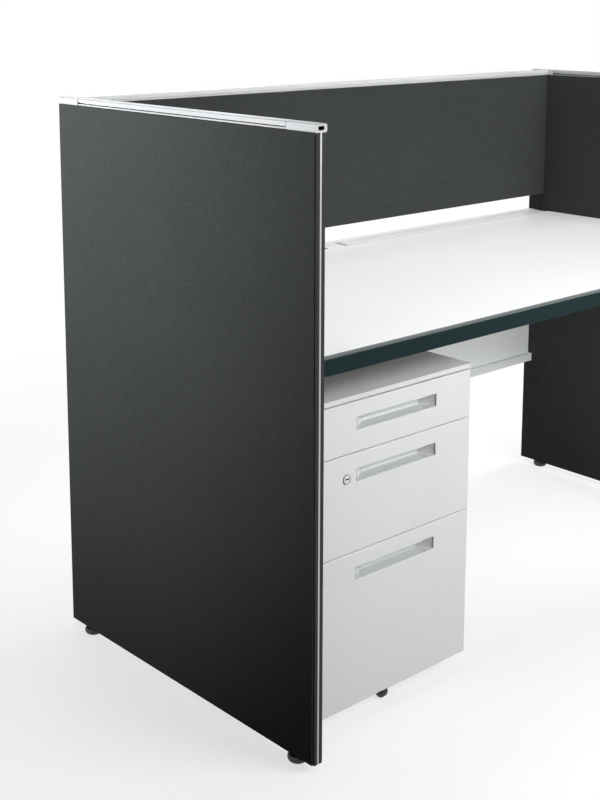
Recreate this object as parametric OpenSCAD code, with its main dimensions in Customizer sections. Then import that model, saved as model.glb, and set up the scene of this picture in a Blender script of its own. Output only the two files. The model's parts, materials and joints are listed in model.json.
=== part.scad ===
/* [Desk] */
// Width over the two end panels
desk_w = 1500; // [1400:10:1800]
// Depth of the end panels, front to back
desk_d = 735; // [720:5:780]
// Height to the top of the rails
screen_h = 1096; // [1050:2:1400]
// Height of the worktop's upper face
worktop_h = 720; // [700:5:740]

/* [End panels] */
// Thickness of an end panel and of the back screen
panel_t = 25; // [24:1:30]
// Thickness of one fabric-covered cladding sheet
cladding_t = 6; // [5:0.5:7]
// Height of a panel's underside above the floor
panel_lift = 15; // [13:1:25]
// Depth of the post that closes each upright edge
post_d = 12; // [10:1:16]
// Width of the bright strip let into each post
strip_w = 4; // [2:0.5:6]
// Height of the rail on top of a panel
rail_h = 13; // [12:1:18]
// Length of the blocks at the ends of a side rail
block_l = 70; // [60:5:90]
// Length of a rear block's arm along the back screen
arm_l = 50; // [40:5:90]
// Radius of a levelling foot
foot_r = 18; // [12:1:22]
// Distance from a panel's front edge to its front foot's centre
foot_front = 51; // [40:1:90]
// Distance from a panel's rear edge to its rear foot's centre
foot_rear = 61; // [40:1:90]
// Radius of a foot's stud
stud_r = 4; // [3:0.5:5]

/* [Back screen] */
// Distance from the screen's rear face to the end panels' rear edge
screen_inset = 28; // [18:1:34]
// Gap between the worktop and the screen's lower edge, for cables
screen_gap = 46; // [42:1:60]

/* [Worktop] */
// Thickness of the worktop board
board_t = 7.5; // [7:0.5:12]
// Distance from the end panels' front edge to the worktop's front edge
board_front = 7; // [4:1:20]
// Distance from the end panels' rear edge to the worktop's rear edge
board_rear = 4; // [4:1:8]
// Height of the beams under the worktop
beam_h = 29; // [26:1:36]
// Depth of the front beam and of the rear beam
beam_d = 40; // [30:1:50]
// Wall thickness of the beams and rails
tube_t = 2; // [1.5:0.5:3]
// Width of a cable slot, front to back
slot_d = 42; // [38:0.5:42]
// Distance from the desk's left side to the bridge between the slots
bridge_x = 665; // [600:1:800]
// Width of the bridge between the slots
bridge_w = 54; // [30:1:60]
// Thickness of a cable cover
cover_t = 3; // [2:0.5:4]

/* [Modesty panel] */
// Height of the ledge at the foot of the modesty panel
ledge_z = 317; // [250:1:400]
// Depth of that ledge
ledge_d = 12; // [8:1:60]
// Height of the ledge's turned-down lip
lip_h = 19; // [8:1:30]

/* [Pedestal] */
// Width of the pedestal
ped_w = 395; // [380:1:420]
// Depth of the pedestal
ped_d = 575; // [550:5:575]
// Height of the pedestal
ped_h = 614; // [600:1:640]
// Distance from the desk's left side to the pedestal
ped_x = 71; // [40:1:120]
// Distance from the end panels' front edge to the drawer fronts
ped_y = 70; // [40:1:75]
// Thickness of the pedestal's top plate
ped_top_t = 9; // [6:0.5:12]
// Thickness of a drawer front
front_t = 18; // [16:1:20]
// Gap between drawer fronts
front_gap = 2.5; // [2:0.5:4]
// Height of the file drawer's lower edge above the floor
front_z = 36; // [30:1:40]
// Height of the file drawer's front
file_h = 290; // [280:1:300]
// Height of the middle drawer's front
middle_h = 180; // [170:1:190]
// Width of a handle opening
handle_w = 204; // [160:2:220]
// Height of a handle opening
handle_h = 24; // [20:1:28]
// Distance from a front's upper edge to the handle opening
handle_drop = 28; // [24:0.5:32]
// Radius of a main castor wheel
wheel_r = 20; // [18:1:20]
// Radius of the fifth castor's wheel
fifth_r = 14; // [12:1:15]

/* [Hidden] */
$fn = 48;

fabric_grey = "#4a4e4f";
post_grey = "#4c4e52";
bright_metal = "#c9cccd";
rail_white = "#e9edec";
top_white = "#e9eaea";
beam_dark = "#24363c";
paint_grey = "#d9dbda";
panel_grey = "#b9bebc";
inner_steel = "#a9adad";
black_plastic = "#1c1d1f";

// Play round a shaft, and round a bolt in its hole
shaft_play = 0.05;
bolt_play = 0.2;

// End panel, measured from its outer face, its front edge and the floor
panel_top = screen_h - rail_h - 1;
lip_t = cladding_t / 2;
sheet_setback = 3;
foot_rail_h = 29.5;
foot_h = panel_lift - 2;
stud_top = panel_lift + 23;
foot_ys = [foot_front, desk_d - foot_rear];

// Back screen
screen_y = desk_d - screen_inset - panel_t;
screen_z = worktop_h + screen_gap;
inner_w = desk_w - 2 * panel_t;
side_play = 1;

// Worktop, its frame and its cable slots
board_z = worktop_h - board_t;
beam_z = board_z - beam_h;
beam_y = board_front + 1.5;
board_back = desk_d - board_rear;
slot_y = screen_y - 13;
slot_back = slot_y + slot_d;
board_gap = 0.05;
rear_rail_y = slot_back + 1.5;
rear_rail_d = board_back - rear_rail_y - 2;
side_rail_w = 30;
slots = [
    [panel_t + side_play, bridge_x],
    [bridge_x + bridge_w, desk_w - panel_t - side_play]
];
hinge_y = slot_back - 5.5;
hinge_z = worktop_h - 4;
hinge_block_l = 8;
cover_gap = 1.5;
hinge_pin_r = 1.25;
hinge_edge = 2.2;
bolt_r = 4;
bolt_ys = [120, 360, 580];

// Modesty panel and cable tray are folded from this sheet
sheet_t = 1.5;
modesty_y = board_back - 14;
tray_depth = 71;

// Pedestal, measured from its left side, its drawer fronts and the floor
body_y = front_t + 2;
body_top = ped_h - ped_top_t;
carcass_z = front_z + 3;
base_z = 54;
base_t = 2;
reveal = 1;
middle_z = front_z + file_h + front_gap;
top_z = middle_z + middle_h + front_gap;
top_front_h = body_top - 3 - top_z;
box_in = 16;
box_l = ped_d - body_y - 20;
handle_deep = 20;
handle_slope = 32;
handle_rise = 7;
cup_t = 1.2;
top_rail_z = top_z + 24;
middle_rail_z = middle_z + 38;
file_rail_z = base_z + 96;

// Height of each slide's centre, then the height and depth of its channel
slide_rails = [[top_rail_z, 24, 9], [middle_rail_z, 24, 9], [file_rail_z, 45, 8]];
lock_x = 72;
lock_z = middle_z + middle_h - handle_drop - handle_h / 2 - 2;
lock_throw = 10;
plug_r = 6;

// Castors
castor_xs = [45, ped_w - 45];
castor_ys = [90, ped_d - 55];
castor_trail = 14;
axle_r = 3;
stem_r = 5;
hood_w = 7;
fifth_y = 33;

// A block given by its lowest and highest corners
module block(low, high) {
    translate(low) cube(high - low);
}

// Repeats what is measured from the pedestal's left side on its right side
module in_both_sides() {
    children();
    translate([ped_w, 0, 0]) mirror([1, 0, 0]) children();
}

// A rectangle with round corners
module round_rect(w, h, r) {
    translate([r, 0]) square([w - 2 * r, h]);
    translate([0, r]) square([w, h - 2 * r]);
    for (x = [r, w - r], y = [r, h - r]) translate([x, y]) circle(r);
}

// The wall of a rectangular tube, drawn as a flat section
module tube_section(w, h) {
    difference() {
        round_rect(w, h, 2.5);
        translate([tube_t, tube_t]) round_rect(w - 2 * tube_t, h - 2 * tube_t, 0.8);
    }
}

// Extrudes a section drawn in Y and Z along X
module along_x(from, to) {
    translate([from, 0, 0]) rotate([90, 0, 90]) linear_extrude(to - from) children();
}

// Extrudes a section drawn in X and Z along Y
module along_y(from, to) {
    translate([0, to, 0]) rotate([90, 0, 0]) linear_extrude(to - from) children();
}

// Round bars along X and Y, from one place to another
module rod_x(from, to, y, z, r) {
    translate([from, y, z]) rotate([0, 90, 0]) cylinder(h = to - from, r = r);
}
module rod_y(from, to, x, z, r) {
    translate([x, to, z]) rotate([90, 0, 0]) cylinder(h = to - from, r = r);
}

// Places what is measured from the left or right side of the desk
module on_left() {
    translate([-desk_w / 2, -desk_d / 2, 0]) children();
}
module on_right() {
    translate([desk_w / 2, -desk_d / 2, 0]) mirror([1, 0, 0]) children();
}
module on_both() {
    on_left() children();
    on_right() children();
}

// Places what is measured from the pedestal's left side and drawer fronts
module in_pedestal() {
    translate([ped_x - desk_w / 2, ped_y - desk_d / 2, 0]) children();
}

// Holes for the bolts that join the frame to an end panel
module bolt_holes(from, to) {
    for (y = bolt_ys) rod_x(from, to, y, beam_z + beam_h / 2, bolt_r + bolt_play);
}

// One cladding sheet, with a thinner lip beside each edge post
module cladding_sheet() {
    translate([0, 0, panel_lift]) linear_extrude(panel_top - panel_lift) difference() {
        translate([0, sheet_setback])
            round_rect(cladding_t, desk_d - 2 * sheet_setback, 1.2);
        for (y = [-1, desk_d - post_d - 1])
            translate([lip_t, y]) square([cladding_t, post_d + 2]);
    }
}
module inner_sheet() {
    difference() {
        translate([panel_t, 0, 0]) mirror([1, 0, 0]) cladding_sheet();
        bolt_holes(panel_t - cladding_t - 1, panel_t + 1);
    }
}
module left_outer_cladding() {
    color(fabric_grey) on_left() cladding_sheet();
}
module left_inner_cladding() {
    color(fabric_grey) on_left() inner_sheet();
}
module right_outer_cladding() {
    color(fabric_grey) on_right() cladding_sheet();
}
module right_inner_cladding() {
    color(fabric_grey) on_right() inner_sheet();
}

// The board core fills a panel between its sheets, posts and foot rail, and carries the top rail
module panel_cores() {
    t = cladding_t;
    color("tan") on_both() difference() {
        union() {
            block(
                [t, post_d + 1, panel_lift + foot_rail_h],
                [panel_t - t, desk_d - post_d - 1, panel_top]
            );
            block(
                [t, block_l, panel_top - 1],
                [panel_t - t, desk_d - block_l, screen_h - rail_h]
            );
        }
        bolt_holes(panel_t / 2, panel_t);
    }
}

// A post closes each upright edge and carries a bright strip in its groove
module edge_post() {
    w = panel_t - 2 * lip_t - 1;
    translate([lip_t + 0.5, 0, panel_lift]) linear_extrude(panel_top - panel_lift) difference() {
        round_rect(w, post_d, 1.5);
        translate([(w - strip_w) / 2 - 0.1, -1]) square([strip_w + 0.2, 3]);
    }
}
module edge_strip() {
    translate([(panel_t - strip_w) / 2, 0.4, panel_lift])
        cube([strip_w, 1.6, panel_top - panel_lift]);
}
module at_both_edges() {
    children();
    translate([0, desk_d, 0]) mirror([0, 1, 0]) children();
}
module edge_posts() {
    color(post_grey) on_both() at_both_edges() edge_post();
}
module edge_strips() {
    color(bright_metal) on_both() at_both_edges() edge_strip();
}

// The foot rail takes the studs of the levelling feet
module foot_rails() {
    color(inner_steel) on_both() difference() {
        block(
            [cladding_t, post_d + 1, panel_lift],
            [panel_t - cladding_t, desk_d - post_d - 1, panel_lift + foot_rail_h]
        );
        for (y = foot_ys) translate([panel_t / 2, y, panel_lift - 1])
            cylinder(h = stud_top + 2 - panel_lift, r = stud_r + shaft_play);
    }
}

// A levelling foot: a bowl-shaped pad on its stud
module levelling_foot(y) {
    round_r = foot_h - 5;
    translate([panel_t / 2, y, 0]) {
        rotate_extrude() {
            square([foot_r - round_r, foot_h]);
            translate([0, round_r]) square([foot_r, 2.5]);
            translate([foot_r - round_r, round_r]) intersection() {
                circle(round_r);
                translate([0, -round_r]) square(round_r);
            }
            polygon([
                [0, round_r + 2.5], [foot_r, round_r + 2.5], [foot_r - 2.5, foot_h], [0, foot_h]
            ]);
        }
        cylinder(h = stud_top, r = stud_r);
    }
}
module left_front_foot() {
    color(black_plastic) on_left() levelling_foot(foot_ys[0]);
}
module left_rear_foot() {
    color(black_plastic) on_left() levelling_foot(foot_ys[1]);
}
module right_front_foot() {
    color(black_plastic) on_right() levelling_foot(foot_ys[0]);
}
module right_rear_foot() {
    color(black_plastic) on_right() levelling_foot(foot_ys[1]);
}

// The rail's section: round upper corners, a groove along each side and a sloping lip below it
module rail_section() {
    w = panel_t - 0.6;
    lip_top = 2.8;
    side_foot = 4.6;
    translate([0.3, screen_h - rail_h]) {
        translate([0, side_foot]) {
            round_rect(w, rail_h - side_foot, 2.5);
            square([w, 4]);
        }
        translate([3, 1]) square([w - 6, 6]);
        polygon([[1.4, 0], [w - 1.4, 0], [w - 0.5, lip_top], [0.5, lip_top]]);
    }
}

// A side rail has a short screw slot beside the rear corner block
module side_rail() {
    slot_end = desk_d - block_l - 2;
    difference() {
        along_y(block_l, desk_d - block_l) rail_section();
        for (x = [-1, panel_t - 4])
            block([x, slot_end - 21, screen_h - 10], [x + 5, slot_end, screen_h - 6.3]);
    }
}
module left_top_rail() {
    color(rail_white) on_left() side_rail();
}
module right_top_rail() {
    color(rail_white) on_right() side_rail();
}

// The front block ends in a socket; the rear block turns the corner to the screen's rail
module rail_blocks() {
    h = rail_h + 1;
    along_x(panel_t - 1, panel_t + arm_l) translate([screen_y, 0]) rail_section();
    translate([0, 0, screen_h - h]) difference() {
        union() {
            along_y(0, block_l - 0.3) round_rect(panel_t, h, 3.5);
            along_y(desk_d - block_l + 0.3, desk_d) round_rect(panel_t, h, 3.5);
        }
        block([panel_t / 2 - 6.25, -1, h / 2 - 3.2], [panel_t / 2 + 6.25, 35, h / 2 + 3.2]);
    }
}
module left_rail_blocks() {
    color(rail_white) on_left() rail_blocks();
}
module right_rail_blocks() {
    color(rail_white) on_right() rail_blocks();
}

// The back screen hangs between the end panels, clear of the worktop
module screen_sheet() {
    x = panel_t + side_play;
    translate([x, 0, screen_z]) linear_extrude(panel_top - screen_z)
        round_rect(inner_w - 2 * side_play, cladding_t, 2);
}
module screen_front_cladding() {
    color(fabric_grey) on_left() translate([0, screen_y, 0]) screen_sheet();
}
module screen_rear_cladding() {
    color(fabric_grey) on_left() translate([0, screen_y + panel_t - cladding_t, 0]) screen_sheet();
}
module screen_core() {
    x = panel_t + side_play;
    color("dimgray") on_left() block(
        [x, screen_y + cladding_t, screen_z],
        [desk_w - x, screen_y + panel_t - cladding_t, screen_h - rail_h]
    );
}
module screen_top_rail() {
    x = panel_t + arm_l + 0.3;
    color(rail_white) on_left() along_x(x, desk_w - x) translate([screen_y, 0]) rail_section();
}

// Angle brackets behind the screen and the modesty panel
module angle_bracket(y, z, h) {
    x = panel_t;
    block([x, y, z], [x + 2.5, y + 16, z + h]);
    block([x, y, z], [x + 35, y + 2.5, z + h]);
}
module angle_brackets() {
    color(inner_steel) on_both() {
        for (z = [screen_z + 30, panel_top - 80]) angle_bracket(screen_y + panel_t, z, 40);
        translate([0, 2 * modesty_y, 0]) mirror([0, 1, 0])
            angle_bracket(modesty_y, ledge_z + 130, 120);
    }
}

// The worktop board, round at the front: behind it a bridge between the cable slots, and the
// strip behind the slots
module worktop_board() {
    x = panel_t + side_play;
    color(top_white) on_left() {
        along_x(x, desk_w - x) translate([board_front, board_z]) union() {
            round_rect(20, board_t, 2.5);
            translate([10, 0]) square([slot_y - board_front - 10, board_t]);
        }
        block(
            [bridge_x, slot_y + board_gap, board_z],
            [bridge_x + bridge_w, slot_back - board_gap, worktop_h]
        );
        block([x, slot_back, board_z], [desk_w - x, board_back, worktop_h]);
    }
}

// Tubular beams across the desk
module front_beam() {
    color(beam_dark) on_left() along_x(panel_t, desk_w - panel_t)
        translate([beam_y, beam_z]) tube_section(beam_d, beam_h);
}
module rear_beams() {
    x = panel_t + side_rail_w;
    color(beam_dark) on_left() {
        along_x(x, desk_w - x) translate([slot_y - beam_d, beam_z]) tube_section(beam_d, beam_h);
        along_x(panel_t, desk_w - panel_t)
            translate([rear_rail_y, beam_z]) tube_section(rear_rail_d, beam_h);
    }
}

// Side rails along the end panels, two middle rails, and a bar under the bridge
module frame_rail(x, to) {
    along_y(beam_y + beam_d, to) translate([x, beam_z]) tube_section(side_rail_w, beam_h);
}
module frame_rails() {
    color(beam_dark) {
        on_both() difference() {
            frame_rail(panel_t, rear_rail_y);
            bolt_holes(panel_t - 1, panel_t + side_rail_w + 1);
        }
        on_left() for (i = [1, 2])
            frame_rail(panel_t + i * inner_w / 3 - side_rail_w / 2, slot_y - beam_d);
        on_left() block(
            [bridge_x + 7, slot_y, board_z - 5],
            [bridge_x + bridge_w - 7, rear_rail_y, board_z]
        );
    }
}
module frame_bolts() {
    head_x = panel_t + side_rail_w;
    z = beam_z + beam_h / 2;
    color(bright_metal) on_both() for (y = bolt_ys) {
        rod_x(panel_t / 2 + 1, head_x + 1, y, z, bolt_r);
        difference() {
            rod_x(head_x, head_x + 5, y, z, 6.5);
            translate([head_x + 2, y, z]) rotate([0, 90, 0]) cylinder(h = 4, r = 3.5, $fn = 6);
        }
    }
}

// A cable cover lies flush in its slot and turns up on pins at its rear corners
module cable_cover(slot) {
    low = slot[0] + hinge_block_l + 1;
    high = slot[1] - hinge_block_l - 1;
    along_x(low, high) translate([slot_y + cover_gap, worktop_h - cover_t])
        round_rect(hinge_y + hinge_edge - slot_y - cover_gap, cover_t, 1);
    for (x = [low, high - 4]) block(
        [x, hinge_y - hinge_edge, hinge_z - 1.5],
        [x + 4, hinge_y + hinge_edge, worktop_h - cover_t / 2]
    );
    for (x = [low - hinge_block_l + 1, high - 4])
        rod_x(x, x + hinge_block_l + 3, hinge_y, hinge_z, hinge_pin_r);
}
module left_cable_cover() {
    color(top_white) on_left() cable_cover(slots[0]);
}
module right_cable_cover() {
    color(top_white) on_left() cable_cover(slots[1]);
}

// A block at each end of a slot holds the pin of its cover
module cover_hinge_blocks() {
    color(panel_grey) on_left() for (s = slots, x = [s[0], s[1] - hinge_block_l]) difference() {
        block([x, hinge_y - 6, board_z], [x + hinge_block_l, slot_back, worktop_h - 0.4]);
        rod_x(x - 1, x + hinge_block_l + 1, hinge_y, hinge_z, hinge_pin_r + shaft_play);
    }
}

// The cable tray hangs on the rear beam under the slots
module cable_tray() {
    bottom = beam_z - tray_depth;
    back = slot_back - 1;
    color(inner_steel) on_left() along_x(panel_t + 35, desk_w - panel_t - 35) union() {
        translate([slot_y, bottom]) square([sheet_t, beam_z + 22 - bottom]);
        translate([slot_y, bottom]) square([back - slot_y, sheet_t]);
        translate([back - sheet_t, bottom]) square([sheet_t, 46]);
    }
}

// The modesty panel is one folded sheet, with a ledge at its foot
module modesty_panel() {
    color(panel_grey) on_left() along_x(panel_t + 2, desk_w - panel_t - 2) union() {
        translate([modesty_y, ledge_z]) square([sheet_t, beam_z - ledge_z]);
        translate([rear_rail_y, beam_z - sheet_t])
            square([modesty_y + sheet_t - rear_rail_y, sheet_t]);
        translate([modesty_y - ledge_d, ledge_z]) square([ledge_d + sheet_t, sheet_t]);
        translate([modesty_y - ledge_d, ledge_z - lip_h]) square([sheet_t, lip_h + sheet_t]);
    }
}

// The carcass: two sides and a back
module pedestal_carcass() {
    t = sheet_t;
    color(paint_grey) in_pedestal() {
        in_both_sides() block([0, body_y, carcass_z], [t, ped_d, body_top]);
        block([t, ped_d - t, carcass_z], [ped_w - t, ped_d, body_top]);
    }
}

// Cross members under the top, and flanges inside the front edges of the sides, interrupted
// where the slides run out
module carcass_members() {
    t = sheet_t;
    color(paint_grey) in_pedestal() {
        for (y = [body_y, ped_d - t - 30])
            block([t, y, body_top - t], [ped_w - t, y + 30, body_top]);
        in_both_sides() difference() {
            block([t, body_y, carcass_z], [t + 12, body_y + t, body_top - t - 1]);
            for (rail = slide_rails)
                translate([0, body_y - 1, rail[0] - rail[1] / 2 - 1.5])
                    cube([16, t + 2, rail[1] + 3]);
        }
    }
}

// The base plate carries the sockets of the castor stems
module pedestal_base() {
    t = sheet_t;
    color(inner_steel) in_pedestal() difference() {
        union() {
            block([t, body_y + t, base_z], [ped_w - t, ped_d - t, base_z + base_t]);
            for (x = castor_xs, y = castor_ys) translate([x, y, base_z])
                cylinder(h = 22, r = stem_r + 4);
        }
        for (x = castor_xs, y = castor_ys) translate([x, y, base_z - 1])
            cylinder(h = 24, r = stem_r + shaft_play);
    }
}

// The top is a shallow pan of folded sheet, open underneath
module pedestal_top() {
    t = sheet_t;
    color(paint_grey) in_pedestal() difference() {
        translate([0, 0, body_top]) linear_extrude(ped_top_t) round_rect(ped_w, ped_d, 2.5);
        block([t, t, body_top - 1], [ped_w - t, ped_d - t, ped_h - t]);
    }
}

// Slide members: channels on the carcass, and the half-travel pair of the file drawer
module channel(x, z, w, h) {
    t = sheet_t;
    translate([x, z - h / 2]) difference() {
        square([w, h]);
        translate([t, t]) square([w, h - 2 * t]);
    }
}
module slide_outer_rails() {
    color(inner_steel) in_pedestal() in_both_sides() for (rail = slide_rails)
        along_y(body_y + 8, ped_d - 15) channel(sheet_t, rail[0], rail[2], rail[1]);
}
module file_slide_middle_rails() {
    color(inner_steel) in_pedestal() in_both_sides()
        along_y(body_y + 10, ped_d - 17) channel(sheet_t + 2.5, file_rail_z, 7, 39);
}

// The outer shape of a handle cup, about the middle of its opening
module cup_body(grow) {
    w = handle_w - 2 * grow;
    h = handle_h - 2 * grow;
    deep = handle_deep - grow;
    intersection() {
        translate([0, 0, -handle_h]) linear_extrude(3 * handle_h) polygon([
            [-w / 2, -1], [w / 2, -1], [w / 2, 2], [w / 2 - handle_slope, deep],
            [handle_slope - w / 2, deep], [-w / 2, 2]
        ]);
        along_x(-handle_w, handle_w) polygon([
            [-1, -h / 2], [2, -h / 2], [deep, 6 - h / 2], [deep, h / 2 + handle_rise],
            [6 + grow, h / 2 + handle_rise], [6 + grow, h / 2], [-1, h / 2]
        ]);
    }
}
module at_handle(low, high) {
    translate([ped_w / 2, 0, high - handle_drop - handle_h / 2]) children();
}
module handle_cup(low, high) {
    color(panel_grey) in_pedestal() at_handle(low, high) difference() {
        intersection() {
            cup_body(0);
            block([-ped_w, 0, -ped_w], [ped_w, ped_w, ped_w]);
        }
        cup_body(cup_t);
    }
}

// A drawer front with its handle opening
module drawer_front(low, high) {
    difference() {
        along_y(0, front_t) translate([reveal, low]) round_rect(ped_w - 2 * reveal, high - low, 1.5);
        at_handle(low, high) cup_body(0);
    }
}

// A drawer's box: folded sides, bottom and back, with a slide bar on each side
module drawer_box(low, high, bar_z, bar_x, bar_h) {
    t = sheet_t;
    back = front_t + box_l;
    block([box_in, front_t, low], [ped_w - box_in, back, low + t]);
    block([box_in, back - t, low], [ped_w - box_in, back, high]);
    in_both_sides() {
        block([box_in, front_t, low], [box_in + t, back, high]);
        block([box_in, front_t, high - t], [box_in + 6, back, high]);
        block([bar_x, body_y + 10, bar_z - bar_h / 2], [box_in, back - 4, bar_z + bar_h / 2]);
    }
}
module top_drawer_front() {
    color(paint_grey) in_pedestal() drawer_front(top_z, top_z + top_front_h);
}
module top_drawer_box() {
    color(inner_steel) in_pedestal()
        drawer_box(top_z + 7, top_z + top_front_h - 12, top_rail_z, sheet_t + 3.5, 17);
}
module top_handle_cup() {
    handle_cup(top_z, top_z + top_front_h);
}
module middle_drawer_front() {
    color(paint_grey) in_pedestal() difference() {
        drawer_front(middle_z, middle_z + middle_h);
        rod_y(-1, front_t + 1, lock_x, lock_z, plug_r + 2.2);
    }
}
module middle_drawer_box() {
    color(inner_steel) in_pedestal() difference() {
        drawer_box(middle_z + 8, middle_z + middle_h - 16, middle_rail_z, sheet_t + 3.5, 17);
        block([box_in - 1, 24, lock_z - 6], [box_in + 7, 32, lock_z + 6]);
    }
}
module middle_handle_cup() {
    handle_cup(middle_z, middle_z + middle_h);
}
module file_drawer_front() {
    color(paint_grey) in_pedestal() drawer_front(front_z, front_z + file_h);
}
module file_drawer_box() {
    color(inner_steel) in_pedestal()
        drawer_box(base_z + 30, front_z + file_h - 36, file_rail_z, sheet_t + 5, 32);
}
module file_handle_cup() {
    handle_cup(front_z, front_z + file_h);
}

// The lock's bezel, barrel and back plate, with two lugs that guide the bolt
module lock_housing() {
    color(bright_metal) in_pedestal() difference() {
        union() {
            rod_y(-1.5, 0, lock_x, lock_z, plug_r + 3);
            rod_y(-0.5, front_t + 1, lock_x, lock_z, plug_r + 2);
            block([lock_x - 34, front_t, lock_z - 13], [lock_x + 30, front_t + 1.5, lock_z + 13]);
            for (x = [lock_x - 34, lock_x + 24])
                block([x, front_t, lock_z - 8], [x + 6, front_t + 14, lock_z + 8]);
        }
        rod_y(-2, front_t + 2, lock_x, lock_z, plug_r + shaft_play);
        block(
            [lock_x - 40, front_t + 7.7, lock_z - 5.3],
            [lock_x + 40, front_t + 11.3, lock_z + 5.3]
        );
    }
}

// The plug turns a cam, whose crank pin stands up at rest and moves the bolt
module lock_plug() {
    cam_y = front_t + 3;
    color(bright_metal) in_pedestal() {
        difference() {
            rod_y(-1, cam_y + 2, lock_x, lock_z, plug_r);
            block([lock_x - 4, -2, lock_z - 0.8], [lock_x + 4, 4, lock_z + 0.8]);
        }
        block([lock_x - 4, cam_y, lock_z - 5], [lock_x + 4, cam_y + 2, lock_z + lock_throw + 3]);
        rod_y(cam_y, cam_y + 9, lock_x, lock_z + lock_throw, 1.5);
    }
}

// The bolt slides behind the carcass flange when the plug turns
module lock_bolt() {
    y = front_t + 8;
    color(inner_steel) in_pedestal() difference() {
        union() {
            block([sheet_t + 16.5, y, lock_z - 5], [lock_x + 40, y + 3, lock_z + 5]);
            block([lock_x - 10, y, lock_z - 5], [lock_x + 10, y + 3, lock_z + lock_throw + 6]);
        }
        block([lock_x - 4.2, y - 1, lock_z - 2.5], [lock_x + 4.2, y + 4, lock_z + lock_throw + 3]);
    }
}

// A castor's hood: swivel head on its stem, and a web that holds the axle
module castor_hood(x, y) {
    top = base_z - 1.5;
    color(black_plastic) in_pedestal() translate([x, y, 0]) {
        translate([0, 0, top - 8]) cylinder(h = 8, r = 13);
        cylinder_from(top - 1, base_z + 20, stem_r);
        difference() {
            along_x(-hood_w / 2, hood_w / 2) {
                translate([castor_trail, wheel_r]) circle(wheel_r - 5);
                polygon([
                    [-11, top - 6], [castor_trail - 12, wheel_r - 6],
                    [castor_trail + 12, wheel_r + 8], [11, top - 6]
                ]);
            }
            rod_x(-hood_w, hood_w, castor_trail, wheel_r, axle_r + shaft_play);
        }
    }
}
module cylinder_from(low, high, r) {
    translate([0, 0, low]) cylinder(h = high - low, r = r);
}

// Half the section of a wheel with a round tread, from its axle outwards
module wheel_section(r, w) {
    translate([0, -w / 2]) square([r - 2.5, w]);
    translate([r - 2.5, 2.5 - w / 2]) square([2.5, w - 5]);
    for (y = [-1, 1]) translate([r - 2.5, y * (w / 2 - 2.5)]) circle(2.5);
}

// Twin wheels, joined by the axle that runs in the hood
module castor_wheels(x, y) {
    w = 9;
    color(black_plastic) in_pedestal() translate([x, y + castor_trail, wheel_r]) {
        rod_x(-hood_w / 2 - w, hood_w / 2 + w, 0, 0, axle_r);
        for (side = [-1, 1])
            translate([side * (hood_w / 2 + 0.8 + w / 2), 0, 0]) rotate([0, 90, 0])
                rotate_extrude() intersection() {
                    wheel_section(wheel_r, w);
                    translate([0, -w]) square([2 * wheel_r, 2 * w]);
                }
    }
}
module front_left_castor_hood() {
    castor_hood(castor_xs[0], castor_ys[0]);
}
module front_left_castor_wheels() {
    castor_wheels(castor_xs[0], castor_ys[0]);
}
module front_right_castor_hood() {
    castor_hood(castor_xs[1], castor_ys[0]);
}
module front_right_castor_wheels() {
    castor_wheels(castor_xs[1], castor_ys[0]);
}
module rear_left_castor_hood() {
    castor_hood(castor_xs[0], castor_ys[1]);
}
module rear_left_castor_wheels() {
    castor_wheels(castor_xs[0], castor_ys[1]);
}
module rear_right_castor_hood() {
    castor_hood(castor_xs[1], castor_ys[1]);
}
module rear_right_castor_wheels() {
    castor_wheels(castor_xs[1], castor_ys[1]);
}

// The fifth castor stops the pedestal tipping when the file drawer is out
module fifth_castor_fork() {
    x = ped_w / 2;
    cheek_in = 7;
    cheek_t = 2;
    top = base_z + 30;
    color(black_plastic) in_pedestal() difference() {
        union() {
            block([x - 16, front_t, fifth_r * 2 + 8], [x + 16, front_t + 2, top]);
            block([x - 16, front_t, fifth_r * 2 + 4], [x + 16, fifth_y + 12, fifth_r * 2 + 8]);
            for (side = [-1, 1]) translate([x + side * (cheek_in + cheek_t / 2), 0, 0])
                along_x(-cheek_t / 2, cheek_t / 2) {
                    translate([fifth_y, fifth_r]) circle(6);
                    translate([fifth_y - 6, fifth_r]) square([12, fifth_r + 5]);
                }
        }
        rod_x(x - 12, x + 12, fifth_y, fifth_r, axle_r - 0.5 + shaft_play);
    }
}
module fifth_castor_wheel() {
    x = ped_w / 2;
    color(black_plastic) in_pedestal() translate([x, fifth_y, fifth_r]) {
        rod_x(-9.5, 9.5, 0, 0, axle_r - 0.5);
        rotate([0, 90, 0]) rotate_extrude() wheel_section(fifth_r, 12);
    }
}

left_outer_cladding();
left_inner_cladding();
right_outer_cladding();
right_inner_cladding();
panel_cores();
edge_posts();
edge_strips();
foot_rails();
left_top_rail();
right_top_rail();
left_rail_blocks();
right_rail_blocks();
left_front_foot();
left_rear_foot();
right_front_foot();
right_rear_foot();
screen_front_cladding();
screen_rear_cladding();
screen_core();
screen_top_rail();
angle_brackets();
worktop_board();
front_beam();
rear_beams();
frame_rails();
frame_bolts();
left_cable_cover();
right_cable_cover();
cover_hinge_blocks();
cable_tray();
modesty_panel();
pedestal_carcass();
carcass_members();
pedestal_base();
pedestal_top();
slide_outer_rails();
file_slide_middle_rails();
top_drawer_front();
top_drawer_box();
top_handle_cup();
middle_drawer_front();
middle_drawer_box();
middle_handle_cup();
file_drawer_front();
file_drawer_box();
file_handle_cup();
lock_housing();
lock_plug();
lock_bolt();
front_left_castor_hood();
front_left_castor_wheels();
front_right_castor_hood();
front_right_castor_wheels();
rear_left_castor_hood();
rear_left_castor_wheels();
rear_right_castor_hood();
rear_right_castor_wheels();
fifth_castor_fork();
fifth_castor_wheel();
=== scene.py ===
# %% [markdown]
# # Dressing an office desk
# The desk arrives as a finished frame: every solid has its real size and place, and every moving
# piece hangs on a joint. This script only dresses it. It gives the solids their finishes, rounds
# the edges that catch the light, adds the small hardware and sets up a plain studio.

# %% Load the frame
import json
import math

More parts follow.
